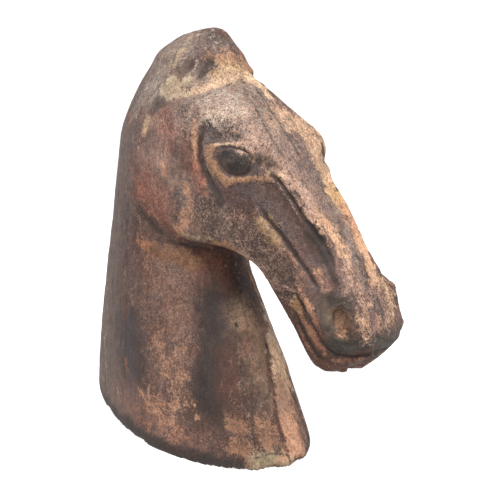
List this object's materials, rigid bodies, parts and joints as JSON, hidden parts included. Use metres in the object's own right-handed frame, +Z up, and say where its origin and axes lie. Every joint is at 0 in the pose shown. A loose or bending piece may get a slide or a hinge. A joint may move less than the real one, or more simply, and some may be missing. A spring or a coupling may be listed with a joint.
{
  "type": "terracotta horse head",
  "caption": "Horse's head and arched neck in fired clay, cut flat below, with a tall crest, almond eyes, ridged nose and worn rim; stands by itself as an ornament.",
  "frame": {"origin": "centre of the flat base that the neck stands on", "axes": "+Z up, +X the way the horse looks, +Y to its left; the plane Y = 0 halves it"},
  "size_m": [0.2718, 0.1062, 0.3],
  "materials": {
    "horse_head": "matt, worn and stained fired clay"
  },
  "bodies": {
    "root": {"horse_head": "horse_head"}
  },
  "joints": []
}
